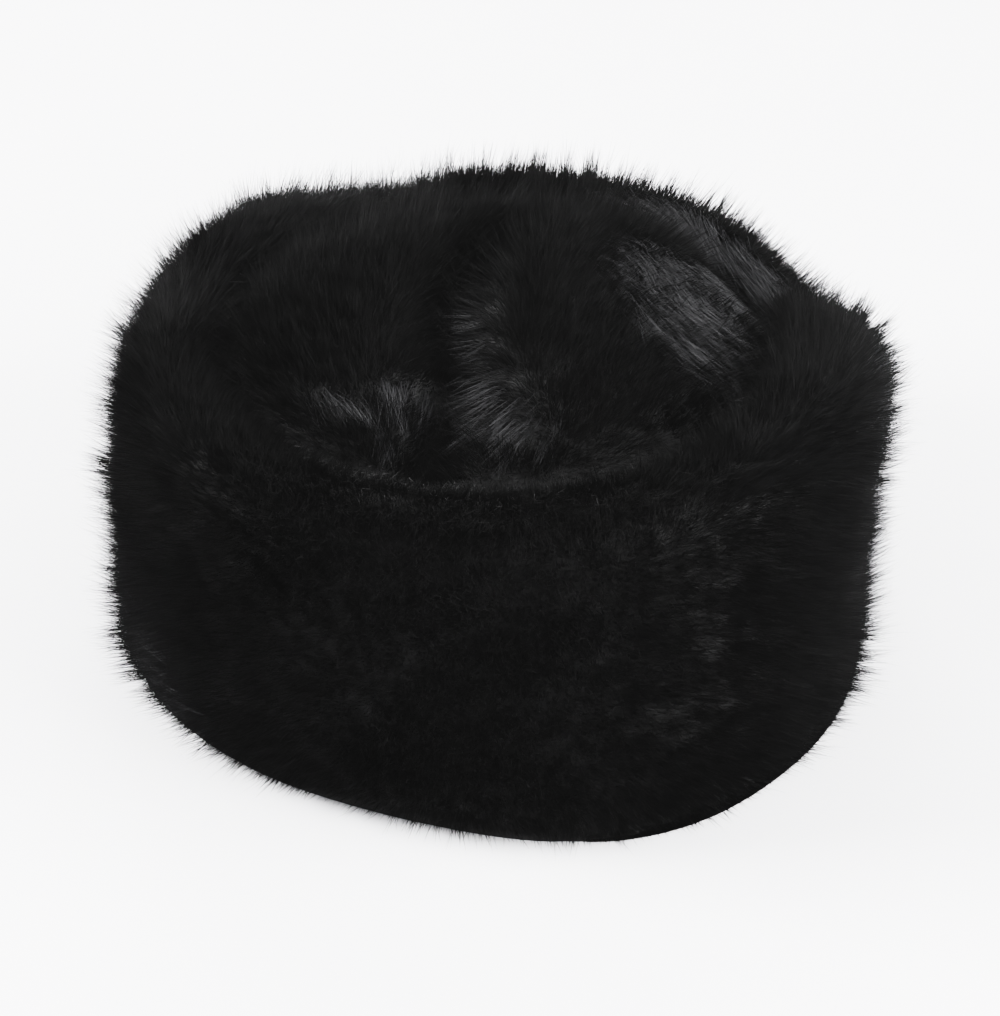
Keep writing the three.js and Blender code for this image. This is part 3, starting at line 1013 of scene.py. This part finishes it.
def strand_sets(roots, where, seed):
    """All kinds of hair that grow from the roots of one part, each with its material's slot."""
    rng = np.random.default_rng(seed)
    sets = [(kind["slot"], grow_hair(kind, roots(kind, where, rng), rng)) for kind in HAIR_KINDS]
    return [(slot, strands) for slot, strands in sets if len(strands[0])]


def make_fur(materials):
    """All the hair: the cuff's in parts round it, and each half of the crown's."""
    pieces = []
    for part in range(CUFF_PARTS):
        sets = strand_sets(cuff_roots, part, CUFF_SEED + part)
        pieces.append(make_hair_piece(f"cuff_fur_{part + 1}", sets, materials))
    for name, side in CROWN_SIDES.items():
        sets = strand_sets(crown_roots, side, CROWN_SEED + side)
        pieces.append(make_hair_piece(f"crown_{name}_fur", sets, materials))
    return pieces


# Materials


def add_node(tree, kind, settings=(), inputs=(), stops=()):
    """Adds a node, sets its properties and a ramp's stops, and sets or links its inputs."""
    node = tree.nodes.new(kind)
    for name, value in dict(settings).items():
        setattr(node, name, value)
    for name, value in dict(inputs).items():
        if isinstance(value, bpy.types.NodeSocket):
            tree.links.new(value, node.inputs[name])
        else:
            node.inputs[name].default_value = value
    for index, (place, colour) in enumerate(stops):
        elements = node.color_ramp.elements
        element = elements[index] if index < len(elements) else elements.new(place)
        element.position = place
        element.color = hex_colour(colour)
    return node


def new_material(name, roughness, specular):
    """A node material with a Principled shader linked to its output."""
    material = bpy.data.materials.new(name)
    material.use_nodes = True
    tree = material.node_tree
    tree.nodes.clear()
    shader = add_node(
        tree,
        "ShaderNodeBsdfPrincipled",
        inputs={"Roughness": roughness, "Specular IOR Level": specular},
    )
    add_node(tree, "ShaderNodeOutputMaterial", inputs={"Surface": shader.outputs["BSDF"]})
    return material, tree, shader


def make_hair_material(name, tones, lengthwise, roughness, specular):
    """Black rabbit hair. Strands differ in tone across their map, and from root to tip. On underfur
    and guard hair the root to tip tones are painted light, lightening the roots against the shade
    deep in the pile and darkening the tips.
    """
    material, tree, shader = new_material(name, roughness, specular)
    place = add_node(tree, "ShaderNodeUVMap", {"uv_map": STRAND_MAP})
    split = add_node(tree, "ShaderNodeSeparateXYZ", inputs={"Vector": place.outputs["UV"]})
    tone = add_node(tree, "ShaderNodeValToRGB", inputs={"Fac": split.outputs["X"]}, stops=tones)
    # Tones from root to tip: on underfur and guard hair, painted light that lightens the roots
    # against the shade deep in the pile and darkens the tips
    shade = add_node(
        tree, "ShaderNodeValToRGB", inputs={"Fac": split.outputs["Y"]}, stops=lengthwise
    )
    mix = add_node(
        tree,
        "ShaderNodeMix",
        {"data_type": "RGBA", "blend_type": "MULTIPLY"},
        {"Factor": 1.0},
    )
    tree.links.new(tone.outputs["Color"], mix.inputs["A"])
    tree.links.new(shade.outputs["Color"], mix.inputs["B"])
    tree.links.new(mix.outputs["Result"], shader.inputs["Base Color"])
    return material


def make_bed_material():
    """Black rabbit underfur, dense and crimped: it swallows light, so it is a matte near black.
    Its hairs are too fine to show, so they are drawn as a grain of about 1 mm."""
    material, tree, shader = new_material("black_rabbit_underfur", 0.9, 0.2)
    place = add_node(tree, "ShaderNodeTexCoord")
    noise = add_node(
        tree,
        "ShaderNodeTexNoise",
        inputs={
            "Vector": place.outputs["Object"],
            "Scale": 1 / (UNDERFUR_GRAIN * MM),
            "Detail": 2.0,
        },
    )
    colour = add_node(
        tree,
        "ShaderNodeValToRGB",
        inputs={"Fac": noise.outputs["Fac"]},
        stops=((0.3, "#222222"), (0.75, "#262626")),
    )
    tree.links.new(colour.outputs["Color"], shader.inputs["Base Color"])
    bump = add_node(
        tree,
        "ShaderNodeBump",
        inputs={
            "Height": noise.outputs["Fac"],
            "Strength": 0.5,
            "Distance": UNDERFUR_BUMPS * MM,
        },
    )
    tree.links.new(bump.outputs["Normal"], shader.inputs["Normal"])
    return material


def make_hide_material():
    """Tanned rabbit hide, dyed black with the hair: a soft matte suede, greyer where the knife
    has raised its nap, with a grain of about 1 mm."""
    material, tree, shader = new_material("dyed_suede_hide", 0.85, 0.5)
    shader.inputs["Sheen Weight"].default_value = 0.3
    place = add_node(tree, "ShaderNodeTexCoord")
    broad = add_node(
        tree,
        "ShaderNodeTexNoise",
        inputs={
            "Vector": place.outputs["Object"],
            "Scale": 1 / (HIDE_MOTTLE * MM),
            "Detail": 4.0,
        },
    )
    fine = add_node(
        tree,
        "ShaderNodeTexNoise",
        inputs={
            "Vector": place.outputs["Object"],
            "Scale": 1 / (HIDE_GRAIN * MM),
            "Detail": 3.0,
        },
    )
    colour = add_node(
        tree,
        "ShaderNodeValToRGB",
        inputs={"Fac": broad.outputs["Fac"]},
        stops=((0.3, "#2a2624"), (0.7, "#3c3633")),
    )
    tree.links.new(colour.outputs["Color"], shader.inputs["Base Color"])
    bump = add_node(
        tree,
        "ShaderNodeBump",
        inputs={
            "Height": fine.outputs["Fac"],
            "Strength": 0.6,
            "Distance": HIDE_BUMPS * MM,
        },
    )
    tree.links.new(bump.outputs["Normal"], shader.inputs["Normal"])
    return material


def make_floor_material():
    """A painted studio board: matte off-white with a very faint unevenness."""
    material, tree, shader = new_material("white_painted_board", 0.7, 0.2)
    place = add_node(tree, "ShaderNodeTexCoord")
    noise = add_node(
        tree,
        "ShaderNodeTexNoise",
        inputs={
            "Vector": place.outputs["Object"],
            "Scale": 1 / (BOARD_MOTTLE * MM),
            "Detail": 6.0,
        },
    )
    colour = add_node(
        tree,
        "ShaderNodeValToRGB",
        inputs={"Fac": noise.outputs["Fac"]},
        stops=((0.3, "#e4e4e6"), (0.7, "#eaeaec")),
    )
    tree.links.new(colour.outputs["Color"], shader.inputs["Base Color"])
    return material


# Studio


def place_camera():
    """A camera on the line from the target at the photograph's azimuth and elevation. Its focal
    length gives the photograph's pixels per mm at the target."""
    turn, tilt = np.radians(CAMERA_AZIMUTH), np.radians(CAMERA_ELEVATION)
    back = Vector((np.sin(turn) * np.cos(tilt), -np.cos(turn) * np.cos(tilt), np.sin(tilt)))
    data = bpy.data.cameras.new("camera")
    data.sensor_width = SENSOR
    longer = max(PHOTO_WIDTH, PHOTO_HEIGHT)
    data.lens = PIXELS_PER_MM * CAMERA_DISTANCE / longer * SENSOR
    data.clip_start = CAMERA_NEAR * MM
    camera = bpy.data.objects.new("camera", data)
    camera.location = Vector(CENTRE) + (Vector(CAMERA_TARGET) + back * CAMERA_DISTANCE) * MM
    camera.rotation_euler = back.to_track_quat("Z", "Y").to_euler()
    bpy.context.scene.collection.objects.link(camera)
    bpy.context.scene.camera = camera


def make_floor(material):
    """A square board, far wider than the view."""
    corners = np.array([[-1.0, -1, 0], [1, -1, 0], [1, 1, 0], [-1, 1, 0]]) * BOARD_HALF
    mesh = mesh_from_arrays("floor", corners, np.arange(4), np.array([4]), smooth=False)
    floor = add_object("floor", mesh, material)


def add_softbox(name, place, size, power):
    """A square area light that faces the hat from a place in mm."""
    data = bpy.data.lights.new(name, "AREA")
    data.size = size * MM
    data.energy = power
    light = bpy.data.objects.new(name, data)
    light.location = Vector(place) * MM
    aim = light.location - Vector(CAMERA_TARGET) * MM
    light.rotation_euler = aim.to_track_quat("Z", "Y").to_euler()
    bpy.context.scene.collection.objects.link(light)


def light_studio():
    """A white surround that is brightest high at the back and dimmest low in front: its strength
    goes by the cosine of the angle to the bright side. The softboxes add to it."""
    world = bpy.data.worlds.new("studio")
    bpy.context.scene.world = world
    world.use_nodes = True
    tree = world.node_tree
    tree.nodes.clear()
    place = add_node(tree, "ShaderNodeTexCoord")
    toward = add_node(tree, "ShaderNodeVectorMath", {"operation": "DOT_PRODUCT"})
    tree.links.new(place.outputs["Generated"], toward.inputs[0])
    toward.inputs[1].default_value = Vector(BRIGHT_SIDE).normalized()
    strength = add_node(
        tree,
        "ShaderNodeMapRange",
        {"interpolation_type": "SMOOTHSTEP"},
        {
            "Value": toward.outputs["Value"],
            "From Min": -1.0,
            "From Max": BRIGHT_FROM,
            "To Min": SURROUND_DIM,
            "To Max": SURROUND_BRIGHT,
        },
    )
    background = add_node(
        tree,
        "ShaderNodeBackground",
        inputs={"Color": hex_colour("#fbfbfe"), "Strength": strength.outputs["Result"]},
    )
    surface = {"Surface": background.outputs["Background"]}
    add_node(tree, "ShaderNodeOutputWorld", inputs=surface)
    for softbox in SOFTBOXES:
        add_softbox(*softbox)


def set_film():
    """Deep contrast, with the lens's veil lifting the blacks."""
    view = bpy.context.scene.view_settings
    view.view_transform = "Filmic"
    view.look = "High Contrast"
    view.use_curve_mapping = True
    view.curve_mapping.black_level = (-LENS_VEIL,) * 3


# Assembly

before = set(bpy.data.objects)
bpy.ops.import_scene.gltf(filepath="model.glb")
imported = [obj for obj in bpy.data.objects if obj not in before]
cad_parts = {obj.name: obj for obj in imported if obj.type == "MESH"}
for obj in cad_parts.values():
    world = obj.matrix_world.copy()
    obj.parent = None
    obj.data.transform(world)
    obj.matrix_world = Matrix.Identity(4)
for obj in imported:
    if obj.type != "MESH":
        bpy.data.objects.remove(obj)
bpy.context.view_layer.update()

# The pelts are drawn round the middle of the head opening, which the crown's box gives
left_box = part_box("crown_left_pelt")
right_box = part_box("crown_right_pelt")
CENTRE = np.array(
    [
        (left_box[0].x + right_box[1].x) / 2,
        (left_box[0].y + left_box[1].y) / 2,
        0.0,
    ]
)

place_camera()
light_studio()
set_film()
make_floor(make_floor_material())

bed_material = make_bed_material()
hide_material = make_hide_material()
hair_materials = [make_hair_material(*finish) for finish in HAIR_FINISHES]

cuff_bed = make_cuff_bed(bed_material)
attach(cuff_bed, "root")
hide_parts("fur_cuff")
for half, (bed, hide) in make_crown_beds(bed_material, hide_material).items():
    for piece, slot in ((bed, "black_rabbit_fur"), (hide, "hide")):
        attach(piece, "root")
        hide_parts(f"crown_{half}_pelt")

for piece in make_fur(hair_materials):
    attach(piece, "root")
